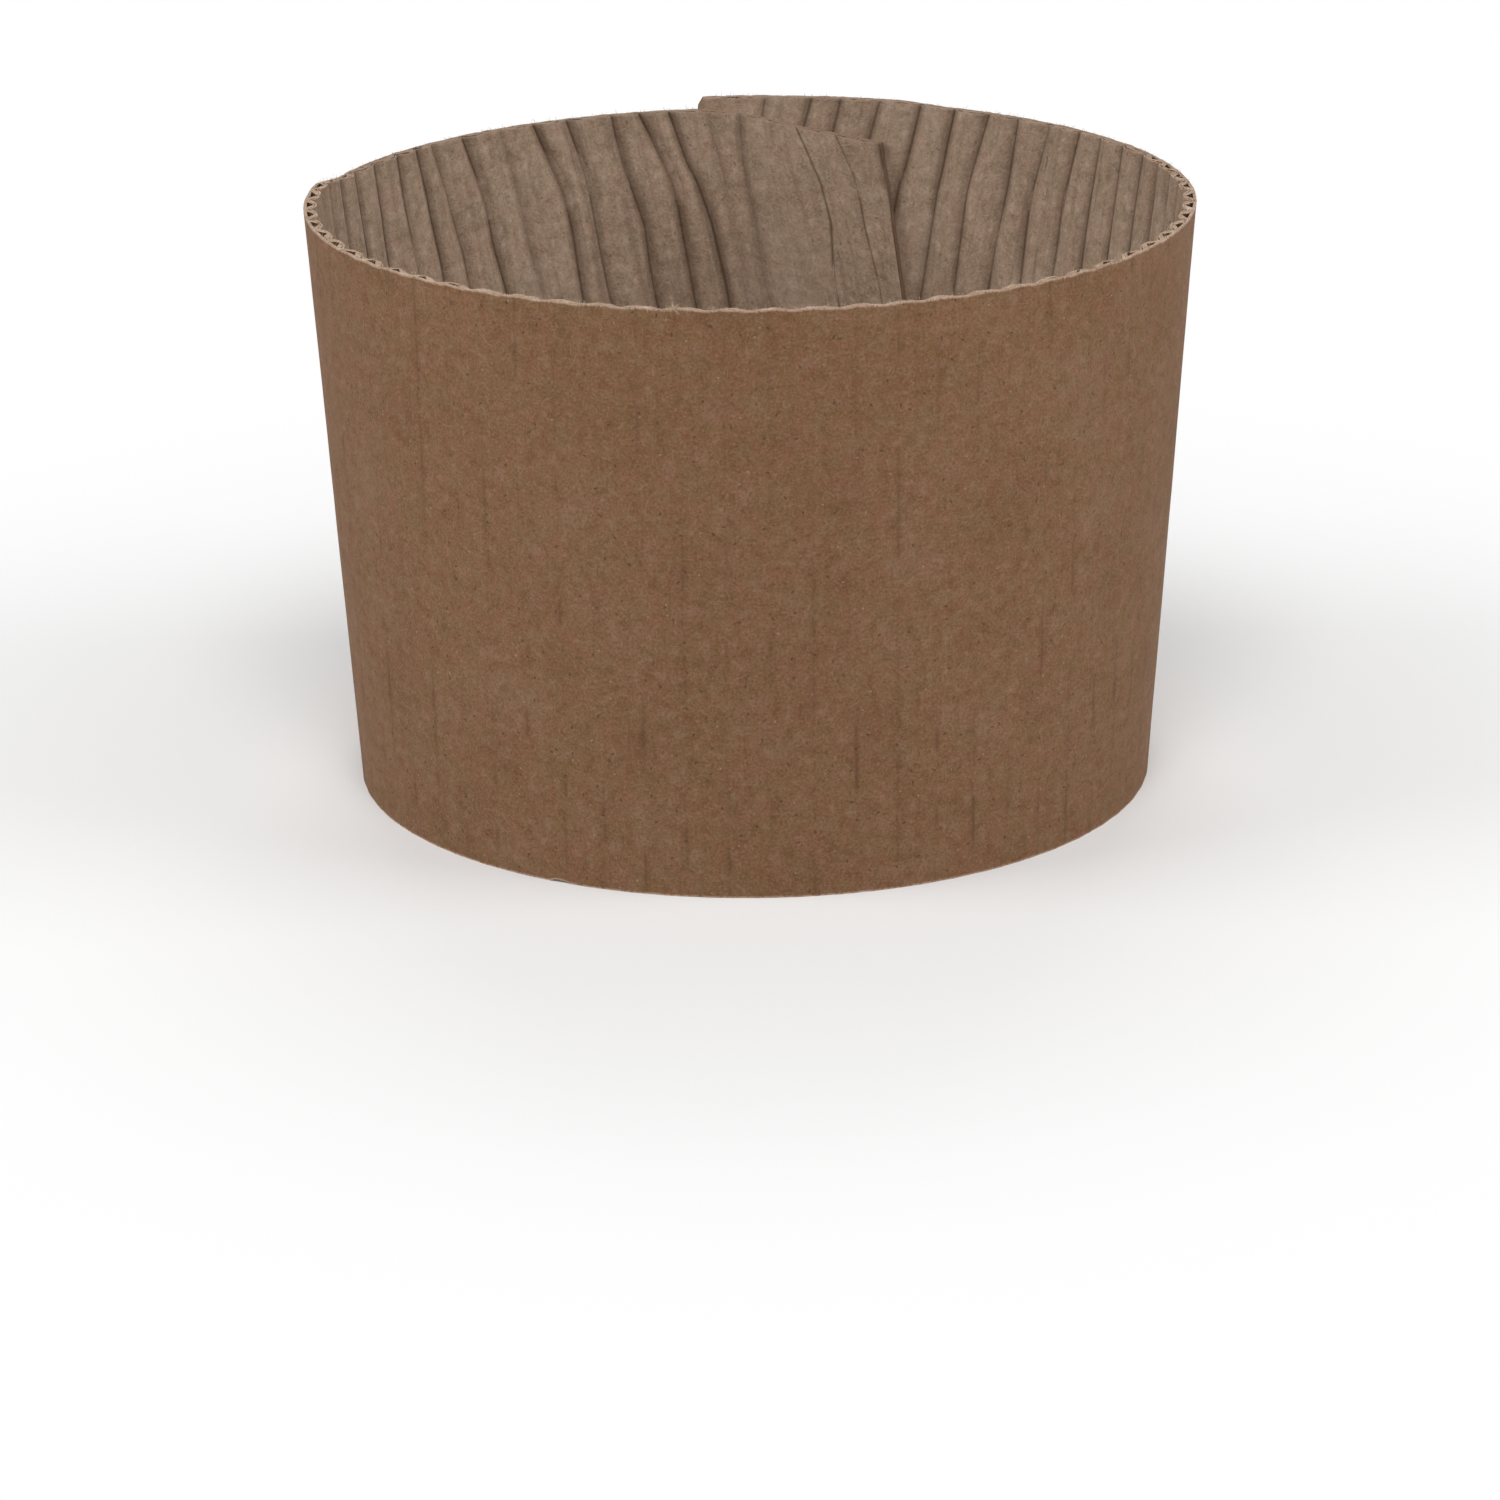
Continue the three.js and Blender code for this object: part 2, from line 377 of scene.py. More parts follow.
@dataclass
class Creases:
    """The folds that rolling has pressed into the inner liner, about one between two open flutes."""

    blank: Blank
    first: int
    last: int
    rows: int = 71
    depth: float = 0.56
    core_share: float = 0.28
    core_width: float = 0.17
    flank_width: float = 0.68
    foot_height: float = 43.0
    settled_height: float = 20.0
    reach: float = 1.6
    plain_rim: float = 0.05
    plain_foot: float = 0.1
    knots: int = 10
    wander: float = 0.1
    back_wander: float = 0.14
    back_angles: tuple[float, float] = (60.0, 110.0)
    level: tuple[float, float] = (0.82, 1.05)
    level_change: float = 0.14
    level_limits: tuple[float, float] = (0.45, 1.2)
    seed: int = 11
    runs: list[Run] = field(init=False)
    drift: Grid = field(init=False)

    def __post_init__(self) -> None:
        """Draws the path and the depth of every fold, from the first flute to the last."""
        rng = np.random.default_rng(self.seed)
        blank, cone, pitch = self.blank, self.blank.cone, self.blank.board.pitch
        plain = []
        for k in range(self.first, self.last + 1):
            plain.append((k, OWN_FOLDS.get(k, Fold(k + self.plain_rim, k + self.plain_foot))))
        self.runs = []
        for home, fold in plain + [(fold.foot, fold) for fold in EXTRA_FOLDS]:
            azimuth = cone.azimuth_of(home * pitch, cone.height)
            crumple = self.wander + self.back_wander * float(smooth(-azimuth, *self.back_angles))
            wander = rng.normal(0, crumple, self.knots)
            level = rng.uniform(*self.level) + rng.normal(0, self.level_change, self.knots)
            self.runs.append(Run(home, fold, wander, np.clip(level, *self.level_limits)))
        share = np.linspace(0, 1, self.rows)
        self.drift = np.zeros((self.rows, len(plain)))
        for column, run in enumerate(self.runs[: len(plain)]):
            azimuth = cone.azimuth_of(run.home * pitch, cone.height)
            bottom, top = blank.bottom_edge(azimuth), blank.top_edge(azimuth)
            self.drift[:, column] = self.path(run, bottom + (top - bottom) * share) - run.home * pitch

    def path(self, run: Run, z: Grid) -> Grid:
        """The way that a fold takes up the blank.

        Args:
            run: the fold.
            z: heights.

        Returns:
            Its distance across the flutes at each height.
        """
        heights = (0, self.settled_height, self.foot_height, self.blank.cone.height)
        line = np.interp(z, heights, (run.home, run.home, run.fold.foot, run.fold.rim))
        knots = np.linspace(0, self.blank.cone.height, self.knots)
        return line * self.blank.board.pitch + np.interp(z, knots, run.wander)

    def shift(self, line: Grid) -> Grid:
        """How far the folds carry the lines of a grid sideways.

        Args:
            line: the line of each column, in flutes.

        Returns:
            The shift of each line on each row, across the flutes.
        """
        place = np.clip(line - self.first, 0, self.drift.shape[1] - 1)
        low = np.minimum(place.astype(int), self.drift.shape[1] - 2)
        share = place - low
        return self.drift[:, low] * (1 - share) + self.drift[:, low + 1] * share

    def valley(self, at: Places) -> tuple[Grid, Grid]:
        """How sharply and how broadly each point lies in a crease.

        Args:
            at: the points.

        Returns:
            The share of the core and the share of the flanks.
        """
        core, flanks = np.zeros(at.u.shape), np.zeros(at.u.shape)
        knots = np.linspace(0, self.blank.cone.height, self.knots)
        for run in self.runs:
            near = np.abs(at.line[0] - run.home) < self.reach
            if not near.any():
                continue
            away = np.abs(at.u[:, near] - self.path(run, at.z[:, near]))
            level = np.interp(at.z[:, near], knots, run.level)
            sharp = run.fold.core * level * np.exp(-away / self.core_width)
            broad = run.fold.flanks * level * np.exp(-((away / self.flank_width) ** 2))
            core[:, near] = np.maximum(core[:, near], sharp)
            flanks[:, near] = np.maximum(flanks[:, near], broad)
        return core, flanks

    def sink(self, at: Places) -> Grid:
        """Depth of the crease at each point."""
        core, flanks = self.valley(at)
        return self.depth * (self.core_share * core + (1 - self.core_share) * flanks)


@dataclass
class Sheet:
    """One paper of the board as a closed mesh: a face that shows, a plain face behind it, and cut edges.

    The columns of the grid lie across a flute at the shares in across, or in across_back at the back where
    that is given. The edges are frayed by layers of noise, each with its share and its cells a millimetre.
    """

    name: str
    blank: Blank
    creases: Creases
    across: tuple[float, ...]
    shown: Callable[[Places], Grid]
    hidden: Callable[[Places], Grid]
    shown_outside: bool
    seed: int
    across_back: tuple[float, ...] = ()
    back_from: int = 21
    ragged: float = 0.05
    frays: tuple[tuple[float, float], ...] = ((0.6, 1.7), (0.4, 6.1))
    edge_share: float = 0.015
    wave_crest: float = 0.45
    wave_fades: tuple[float, float] = (30.0, 48.0)
    sunk: float = 0.0
    shown_step: int = 1
    hidden_step: int = 14

    def lines(self) -> Grid:
        """The columns of the grid.

        Returns:
            Their lines, counted in flutes from the front.
        """
        columns = []
        for flute in range(self.creases.first, self.creases.last):
            at_back = bool(self.across_back) and abs(flute + 0.5) > self.back_from
            columns.append(flute + np.array(self.across_back if at_back else self.across))
        return np.append(np.concatenate(columns), self.creases.last)

    def grid(self) -> tuple[Places, Grid, Grid]:
        """The whole grid, with its cut edges.

        Returns:
            Its points, and the first and the last real column of each row.
        """
        blank, line = self.blank, self.lines()
        flat_u = line * blank.board.pitch
        bottom = blank.bottom_edge(blank.cone.azimuth_of(flat_u, 0))
        top = blank.top_edge(blank.cone.azimuth_of(flat_u, blank.cone.height))
        share = np.linspace(0, 1, self.creases.rows)[:, None]
        z = bottom + (top - bottom) * share
        u = flat_u + self.creases.shift(line)
        line = np.broadcast_to(line, u.shape)
        (line, u, z), last = self._trim((line, u, z), Side.RIGHT)
        (line, u, z), first = self._trim((line, u, z), Side.LEFT)
        fray = np.zeros(u.shape)
        for layer, (strength, scale) in enumerate(self.frays):
            fray += strength * value_noise(u * scale, np.full(u.shape, float(self.seed)), self.seed + layer)
        fray *= self.ragged
        rim, foot = smooth(share, 1 - self.edge_share, 1), 1 - smooth(share, 0, self.edge_share)
        at_front = 1 - smooth(np.abs(u), *self.wave_fades)
        crest = blank.rim_wave * np.cos(math.tau * (line - self.wave_crest)) - self.sunk
        z = z + (fray + crest * at_front) * rim + (np.abs(fray) + blank.nicked(u)) * foot
        return Places(line, u, z), first, last

    def _trim(self, grids: tuple[Grid, ...], side: Side) -> tuple[tuple[Grid, ...], Grid]:
        """Ends every row on the blank's end: all columns past it stand on it.

        Args:
            grids: lines, distances across the flutes, and heights.
            side: which end.

        Returns:
            The ended grids, and the column of each row's end.
        """
        flip = side is Side.LEFT
        work = [g[:, ::-1] if flip else g for g in grids]
        _, u, z = work
        over = side.value * (u - self.blank.end_line(side, z))
        rows = np.arange(u.shape[0])
        stop = np.argmax(over > 0, axis=1)
        before, after = over[rows, stop - 1], over[rows, stop]
        share = before / (before - after)
        past = np.arange(u.shape[1])[None, :] >= stop[:, None]
        ended = []
        for g in work:
            edge = g[rows, stop - 1] + share * (g[rows, stop] - g[rows, stop - 1])
            ended.append(np.where(past, edge[:, None], g))
        if flip:
            return tuple(g[:, ::-1] for g in ended), u.shape[1] - 1 - stop
        return tuple(ended), stop

    def build(self, face: bpy.types.Material, cut: bpy.types.Material) -> bpy.types.Object:
        """Makes the mesh and its marks.

        Args:
            face: material of the two faces.
            cut: material of the cut edges.

        Returns:
            The finished piece, riding on the body and standing for the solid.
        """
        at, first, last = self.grid()
        core, flanks = self.creases.valley(at)
        z = at.z
        rows = np.arange(self.creases.rows)
        columns = np.arange(z.shape[1])[None, :]
        points, marks, numbers = [], [], []
        total = 0
        for depth_of, step in ((self.shown, self.shown_step), (self.hidden, self.hidden_step)):
            picked = rows[::step]
            depth = depth_of(at)[picked]
            column = np.clip(columns, first[picked, None], last[picked, None])
            numbers.append(total + np.arange(picked.size)[:, None] * z.shape[1] + column)
            points.append(self.blank.place(at.u[picked], z[picked], depth).reshape(-1, 3))
            edge = np.minimum(z - z[:1], z[-1:] - z)[picked]
            layers = [at.u[picked], z[picked], depth, edge, core[picked], flanks[picked]]
            marks.append(np.stack(layers, axis=-1).reshape(-1, len(layers)))
            total += picked.size * z.shape[1]
        steps = (self.shown_step, self.hidden_step)
        if not self.shown_outside:
            numbers, steps = numbers[::-1], steps[::-1]
        outside, inside = numbers
        faces = _skin(outside) + _skin(inside[:, ::-1])
        skin_count = len(faces)
        faces += _skin(np.stack([outside[-1], inside[-1]]))
        faces += _skin(np.stack([inside[0], outside[0]]))
        faces += _zip(outside[:, -1], inside[:, -1], z[:, -1], steps)
        faces += _zip(inside[:, 0], outside[:, 0], z[:, 0], steps[::-1])
        mesh = _mesh(self.name, np.concatenate(points), faces, np.concatenate(marks), skin_count)
        mesh.materials.append(face)
        mesh.materials.append(cut)
        return _piece(mesh)


def _skin(numbers: Grid) -> list[Face]:
    """Faces between rows and columns of vertices, without those that have collapsed.

    Args:
        numbers: vertex numbers, by row and column.

    Returns:
        The faces.
    """
    a, b = numbers[:-1, :-1].ravel(), numbers[:-1, 1:].ravel()
    c, d = numbers[1:, 1:].ravel(), numbers[1:, :-1].ravel()
    faces = []
    for corners in np.stack([a, b, c, d], axis=1).tolist():
        kept = tuple(dict.fromkeys(corners))
        if len(kept) > 2:
            faces.append(kept)
    return faces


def _zip(left: Grid, right: Grid, heights: Grid, steps: tuple[int, int]) -> list[Face]:
    """Triangles between two columns of vertices with different numbers of rows.

    Args:
        left: vertex numbers of the column on the left, from the bottom.
        right: those of the column on the right.
        heights: heights of all rows.
        steps: how many rows lie between two vertices of each column.

    Returns:
        The triangles.
    """
    left_z, right_z = heights[:: steps[0]], heights[:: steps[1]]
    faces = []
    i = j = 0
    while i < len(left) - 1 or j < len(right) - 1:
        up_left = j == len(right) - 1 or (i < len(left) - 1 and left_z[i + 1] <= right_z[j + 1])
        if up_left:
            faces.append((int(left[i]), int(right[j]), int(left[i + 1])))
            i += 1
        else:
            faces.append((int(left[i]), int(right[j]), int(right[j + 1])))
            j += 1
    return faces


def _mesh(name: str, points: Grid, faces: list[Face], marks: Grid, skin_count: int) -> bpy.types.Mesh:
    """A mesh of the points that the faces use, with the board's own coordinates on them.

    Args:
        name: name of the mesh.
        points: every point, used or not.
        faces: vertex numbers of every face.
        marks: for every point its distance across the flutes, height, depth, distance to the cut edge, and
            the shares of a crease's core and flanks.
        skin_count: how many of the faces, from the first, belong to the paper's faces.

    Returns:
        The mesh, without materials.
    """
    used = np.unique(np.concatenate([np.array(f) for f in faces]))
    renumber = np.zeros(len(points), int)
    renumber[used] = np.arange(used.size)
    mesh = bpy.data.meshes.new(name)
    mesh.from_pydata(points[used].tolist(), [], [tuple(renumber[list(f)].tolist()) for f in faces])
    board = mesh.attributes.new("board", "FLOAT_VECTOR", "POINT")
    board.data.foreach_set("vector", np.ascontiguousarray(marks[used][:, :3], np.float32).ravel())
    # core and flanks also carry the shares by which the inner face paints shade into its creases.
    for column, label in ((3, "edge"), (4, "core"), (5, "flanks")):
        layer = mesh.attributes.new(label, "FLOAT", "POINT")
        layer.data.foreach_set("value", marks[used, column].astype(np.float32))
    slots = np.ones(len(faces), np.int32)
    slots[:skin_count] = 0
    mesh.polygons.foreach_set("material_index", slots)
    mesh.polygons.foreach_set("use_smooth", np.ones(len(faces), bool))
    mesh.validate()
    mesh.update()
    mesh.set_sharp_from_angle(angle=math.radians(SHARP_ANGLE))
    return mesh


def _piece(mesh: bpy.types.Mesh) -> bpy.types.Object:
    """Links a mesh as a piece that rides on the body and stands for the solid.

    Args:
        mesh: the mesh, whose name the piece takes.

    Returns:
        The piece.
    """
    piece = bpy.data.objects.new(mesh.name, mesh)
    bpy.context.scene.collection.objects.link(piece)
    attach(piece, "root")
    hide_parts(NODE)
    return piece


STROKE_SOLID = 0.4


@dataclass(frozen=True)
class Noise:
    """A cloudy pattern, in cells a millimetre, with the values between which it counts and how strongly."""

    scale: float
    detail: float = 3.0
    rough: float = 0.6
    twist: float = 0.0
    stretch: Triple = (1.0, 1.0, 1.0)
    shift: Triple = (0.0, 0.0, 0.0)
    low: float = 0.0
    high: float = 1.0
    strength: float = 1.0


@dataclass(frozen=True)
class Strokes:
    """Short bent strokes strewn over the paper, one in each cell of a share of the cells."""

    cell: float
    length: float
    width: float
    share: float
    strength: float
    bend: float = 0.0
    shift: Triple = (0.0, 0.0, 0.0)


class Wiring:
    """A material's nodes, made and joined one by one."""

    def __init__(self, name: str) -> None:
        """Starts an empty material.

        Args:
            name: name of the material.
        """
        self.material = bpy.data.materials.new(name)
        self.material.use_nodes = True
        self.tree = self.material.node_tree
        self.tree.nodes.clear()

    def node(self, kind: str, inputs: dict | None = None, **settings: object) -> bpy.types.Node:
        """Adds a node.

        Args:
            kind: the node's type.
            inputs: numbers, colours or other nodes' sockets, by socket name or number.
            settings: the node's own settings.

        Returns:
            The node.
        """
        made = self.tree.nodes.new(kind)
        for key, value in settings.items():
            setattr(made, key, value)
        for key, value in (inputs or {}).items():
            if isinstance(value, Socket):
                self.tree.links.new(value, made.inputs[key])
            else:
                made.inputs[key].default_value = value
        return made

    def math(self, operation: str, *values: object) -> Socket:
        """A Math node's result."""
        return self.node("ShaderNodeMath", dict(enumerate(values)), operation=operation).outputs[0]

    def times(self, first: object, second: object) -> Socket:
        """Two values multiplied."""
        return self.math("MULTIPLY", first, second)

    def vector(self, operation: str, *values: object) -> Socket:
        """A Vector Math node's result."""
        return self.node("ShaderNodeVectorMath", dict(enumerate(values)), operation=operation).outputs[0]

    def mark(self, name: str, output: str = "Fac") -> Socket:
        """What the mesh holds at each point under a name."""
        return self.node("ShaderNodeAttribute", attribute_name=name).outputs[output]

    def ramp(self, value: Socket, low: float, high: float, to: tuple[float, float] = (0, 1)) -> Socket:
        """The value mapped from low and high onto to, held at both ends."""
        spread = {"Value": value, "From Min": low, "From Max": high, "To Min": to[0], "To Max": to[1]}
        return self.node("ShaderNodeMapRange", spread, interpolation_type="SMOOTHSTEP").outputs[0]

    def mix(self, share: object, first: object, second: object) -> Socket:
        """Two colours mixed by a share."""
        first, second = ((*c, 1) if isinstance(c, tuple) else c for c in (first, second))
        return self.node("ShaderNodeMix", {0: share, 6: first, 7: second}, data_type="RGBA").outputs[2]

    def noise(self, place: Socket, kind: Noise) -> Socket:
        """A cloudy value, about 0.5 on average.

        Args:
            place: where on the paper, in millimetres.
            kind: the pattern.

        Returns:
            The value.
        """
        spot = self.vector("MULTIPLY_ADD", place, kind.stretch, kind.shift)
        inputs = {"Vector": spot, "Scale": kind.scale, "Detail": kind.detail}
        inputs |= {"Roughness": kind.rough, "Distortion": kind.twist}
        return self.node("ShaderNodeTexNoise", inputs).outputs[0]

    def strokes(self, place: Socket, kind: Strokes) -> Socket:
        """Strewn strokes.

        Args:
            place: where on the paper, in millimetres.
            kind: the strokes.

        Returns:
            1 on a stroke and 0 off it.
        """
        spot = self.vector("SCALE", self.vector("ADD", place, kind.shift))
        spot.node.inputs["Scale"].default_value = 1 / kind.cell
        inputs = {"Vector": spot, "Scale": 1.0, "Randomness": 1.0}
        cells = self.node("ShaderNodeTexVoronoi", inputs, voronoi_dimensions="2D")
        draws = self.node("ShaderNodeSeparateColor", {0: cells.outputs["Color"]}).outputs
        away = self.vector("SUBTRACT", spot, cells.outputs["Position"])
        turn = {"Vector": away, "Angle": self.times(draws[0], math.tau)}
        turned = self.node("ShaderNodeVectorRotate", turn, rotation_type="Z_AXIS").outputs[0]
        axes = self.node("ShaderNodeSeparateXYZ", {0: turned}).outputs
        along = self.math("ABSOLUTE", axes[0])
        past = self.math("MAXIMUM", self.math("SUBTRACT", along, kind.length / kind.cell), 0.0)
        curl = self.times(self.math("SUBTRACT", draws[1], 0.5), kind.bend)
        side = self.math("SUBTRACT", axes[1], self.times(self.times(along, along), curl))
        squares = self.math("ADD", self.math("POWER", past, 2.0), self.math("POWER", side, 2.0))
        solid = STROKE_SOLID * kind.width / kind.cell
        stroke = self.ramp(self.math("SQRT", squares), solid, kind.width / kind.cell, (1, 0))
        return self.times(stroke, self.math("LESS_THAN", draws[2], kind.share))


CLOUD = Noise(scale=0.11, strength=0.2)
BLOTCH = Noise(scale=0.9, detail=4.0, rough=0.62, twist=0.4)
GRAIN = Noise(scale=4.2, rough=0.65, twist=0.3, strength=0.42)
DUST = Noise(scale=11.0, detail=2.0, shift=(5.0, 61.0, 0.0), strength=0.15)
TINT = Noise(scale=0.55, rough=0.75, twist=0.6, shift=(31.0, 7.0, 3.0), low=0.36, high=0.64)
STREAKS = Noise(scale=1.6, stretch=(1.0, 0.06, 1.0), low=0.3, high=0.52, strength=0.3)
LINE_GAPS = Noise(scale=1.0, rough=0.7, stretch=(0.28, 0.13, 0.0), low=0.46, high=0.68)
LONG_FIBRES = Strokes(cell=1.5, length=0.5, width=0.045, share=0.55, strength=0.5, bend=1.6)
DOWN = Strokes(cell=0.7, length=0.2, width=0.035, share=0.6, strength=0.3, bend=2.5, shift=(11.0, 5.0, 0.0))
TOW = Strokes(cell=1.0, length=0.28, width=0.045, share=0.45, strength=0.45, bend=2.0, shift=(3.0, 17.0, 0.0))
FLECKS = Strokes(cell=3.1, length=0.03, width=0.07, share=0.3, strength=0.7, shift=(7.0, 29.0, 0.0))
SHIVES = Strokes(cell=2.3, length=0.08, width=0.11, share=0.45, strength=0.75, shift=(23.0, 9.0, 0.0))
FLECK_TONE = linear(170, 150, 130)
SHIVE_TONE = linear(62, 44, 32)
FLUTE_LINE_TONE = linear(86, 59, 38)
# Painted shade in the creases of the inner face, darkest in their cores.
CREASE_FLANK_PAINTED_SHADE = linear(94, 74, 58)
CREASE_CORE_PAINTED_SHADE = linear(66, 50, 38)
# Pale rim along the cut edges: partly wear and frayed fibres, partly a painted highlight where the edge
# catches light.
RUBBED_AND_HIGHLIGHT_TONE = linear(192, 166, 147)
OFFSET_SLOPE = 0.7
SPECKLE_DARK = (0.3, 0.5)
SPECKLE_PALE = (0.5, 0.72)
# Grain that breaks up the pale edge rim of wear and painted highlight.
RUBBED_AND_HIGHLIGHT_GRAIN = (0.3, 0.55)
ROUGH_GRAIN = (0.2, 0.8)
# Where the painted crease shade sets in and where it is full.
CREASE_FLANKS = (0.25, 1.0)
CREASE_CORE = (0.2, 0.85)
LINE_CORE = (0.05, 0.27)
LINE_CORE_STRENGTH = 0.8
LINE_HALO = (0.1, 0.6)
LINE_HALO_STRENGTH = 0.3
LINE_LOW = (12.0, 27.0)
LINE_HIGH_STRENGTH = 0.65
# The whole part keeps the count of flutes above zero, and the rest sets the lines off the creases
LINE_OFFSET = 1000.12


@dataclass(frozen=True)
class Kraft:
    """Unbleached recycled paper, as one finish of the board.

    Colours are the linear numbers of the shader. Strengths are shares of the full effect. The pale rim along
    the cut edge, partly wear and partly a painted highlight, fades over the distances in
    wear_and_highlight_span, and the darker tone behind, a painted shade towards the back, sets in over the
    distances in behind_from, both in millimetres. The strengths core and flanks set the painted shade in the
    creases.
    """

    name: str
    ruddy: Colour
    olive: Colour
    pale: Colour
    dark: Colour
    offset: float
    mottle: float = 0.5
    grain: float = 1.0
    streaks: float = 0.0
    fibres: float = 0.8
    specks: float = 0.0
    flute_lines: float = 0.0
    # Strengths of the painted shade in the creases' cores and flanks.
    core: float = 0.0
    flanks: float = 0.0
    relief: float = 0.4
    relief_height: float = 0.04
    grain_height: float = 0.8
    blotch_height: float = 0.6
    fibre_height: float = 0.25
    streak_height: float = 0.35
    edge_wear_and_highlight: float = 0.0
    wear_and_highlight_span: tuple[float, float] = (0.03, 0.21)
    # A darker tone towards the back, as painted shade, and where it sets in.
    behind: Colour | None = None
    behind_from: tuple[float, float] = (62.0, 78.0)
    behind_share: float = 0.75
    roughness: float = 0.88
    roughness_spread: float = 0.05
    specular: float = 0.25
    pitch: float = Board.pitch

    def material(self) -> bpy.types.Material:
        """The finish as nodes.

        Returns:
            The material.
        """
        w = Wiring(self.name)
        board = w.mark("board", "Vector")
        place = w.vector("ADD", board, (self.offset, self.offset * OFFSET_SLOPE, 0.0))
        cloud, blotch, grain, dust = (w.noise(place, kind) for kind in (CLOUD, BLOTCH, GRAIN, DUST))
        colour = w.mix(w.ramp(w.noise(place, TINT), TINT.low, TINT.high), self.ruddy, self.olive)
        colour = self._speckle(w, colour, blotch, self.mottle)
        colour = self._speckle(w, colour, cloud, CLOUD.strength)
        colour = self._speckle(w, colour, grain, GRAIN.strength * self.grain)
        colour = self._speckle(w, colour, dust, DUST.strength * self.grain)
        streak = w.ramp(w.noise(place, STREAKS), STREAKS.low, STREAKS.high, (1, 0))
        colour = w.mix(w.times(streak, STREAKS.strength * self.streaks), colour, self.dark)
        colour, hair = self._fibres(w, place, colour)
        if self.flute_lines:
            colour = w.mix(self._flute_lines(w, board), colour, FLUTE_LINE_TONE)
        # Painted shade in the creases, on top of their relief.
        if self.core:
            colour = self._painted_crease_shade(w, colour)
        # Pale rim along the cut edges, partly wear and partly painted highlight.
        rubbed_and_highlight = w.times(w.ramp(w.mark("edge"), *self.wear_and_highlight_span, (1, 0)), w.ramp(grain, *RUBBED_AND_HIGHLIGHT_GRAIN))
        colour = w.mix(w.times(rubbed_and_highlight, self.edge_wear_and_highlight), colour, RUBBED_AND_HIGHLIGHT_TONE)
        # Painted shade: the finish turns darker towards the back.
        if self.behind:
            across = w.math("ABSOLUTE", w.node("ShaderNodeSeparateXYZ", {0: board}).outputs[0])
            back = w.times(w.ramp(across, *self.behind_from), self.behind_share)
            colour = w.mix(back, colour, self.behind)
        height = w.math("ADD", w.times(grain, self.grain_height), w.times(blotch, self.blotch_height))
        height = w.math("ADD", height, w.times(hair, self.fibre_height))
        height = w.math("SUBTRACT", height, w.times(streak, self.streak_height * self.streaks))
        relief = {"Strength": self.relief, "Distance": self.relief_height * MM, "Height": height}
        rough = (self.roughness - self.roughness_spread, self.roughness + self.roughness_spread)
        paper = {
            "Base Color": colour,
            "Roughness": w.ramp(grain, *ROUGH_GRAIN, rough),
            "Specular IOR Level": self.specular,
            "Normal": w.node("ShaderNodeBump", relief).outputs[0],
        }
        shader = w.node("ShaderNodeBsdfPrincipled", paper)
        w.node("ShaderNodeOutputMaterial", {0: shader.outputs[0]})
        return w.material

    def _speckle(self, w: Wiring, colour: object, noise: Socket, share: float) -> Socket:
        """The colour with its dark and pale tones where a noise is low and high.

        Args:
            w: the wiring.
            colour: the colour so far.
            noise: the noise.
            share: how strong the tones are.

        Returns:
            The new colour.
        """
        colour = w.mix(w.times(w.ramp(noise, *SPECKLE_DARK, (1, 0)), share), colour, self.dark)
        return w.mix(w.times(w.ramp(noise, *SPECKLE_PALE), share), colour, self.pale)

    def _fibres(self, w: Wiring, place: Socket, colour: Socket) -> tuple[Socket, Socket]:
        """The colour with fibres, specks and shives in it.

        Args:
            w: the wiring.
            place: where on the paper, in millimetres.
            colour: the colour so far.

        Returns:
            The new colour, and the strokes of the long fibres.
        """
        made = {}
        for kind, amount, tone in (
            (DOWN, self.fibres, self.pale),
            (LONG_FIBRES, self.fibres, self.pale),
            (TOW, self.fibres, self.dark),
            (FLECKS, self.specks, FLECK_TONE),
            (SHIVES, self.specks, SHIVE_TONE),
        ):
            made[kind] = w.strokes(place, kind)
            colour = w.mix(w.times(made[kind], kind.strength * amount), colour, tone)
        return colour, made[LONG_FIBRES]

    def _flute_lines(self, w: Wiring, board: Socket) -> Socket:
        """The dark, broken lines that show through along the glued flutes, most of all low down.

        Args:
            w: the wiring.
            board: where on the board, in millimetres.

        Returns:
            The share of the lines' tone.
        """
        axes = w.node("ShaderNodeSeparateXYZ", {0: board}).outputs
        line = w.math("ADD", w.math("DIVIDE", axes[0], self.pitch), LINE_OFFSET)
        away = w.times(w.math("ABSOLUTE", w.math("SUBTRACT", w.math("FRACT", line), 0.5)), self.pitch)
        narrow = w.ramp(away, *LINE_CORE, (LINE_CORE_STRENGTH, 0))
        soft = w.times(w.ramp(away, *LINE_HALO, (1, 0)), LINE_HALO_STRENGTH)
        shown = w.ramp(w.noise(board, LINE_GAPS), LINE_GAPS.low, LINE_GAPS.high)
        low = w.ramp(axes[1], *LINE_LOW, (1, LINE_HIGH_STRENGTH))
        return w.times(w.times(w.math("MAXIMUM", narrow, soft), shown), w.times(low, self.flute_lines))

    def _painted_crease_shade(self, w: Wiring, colour: Socket) -> Socket:
        """The colour darkened by painted shade in the core and on the flanks of each crease.

        Args:
            w: the wiring.
            colour: the colour so far.

        Returns:
            The new colour.
        """
        flanks = w.times(w.ramp(w.mark("flanks"), *CREASE_FLANKS), self.flanks)
        core = w.times(w.ramp(w.mark("core"), *CREASE_CORE), self.core)
        return w.mix(core, w.mix(flanks, colour, CREASE_FLANK_PAINTED_SHADE), CREASE_CORE_PAINTED_SHADE)


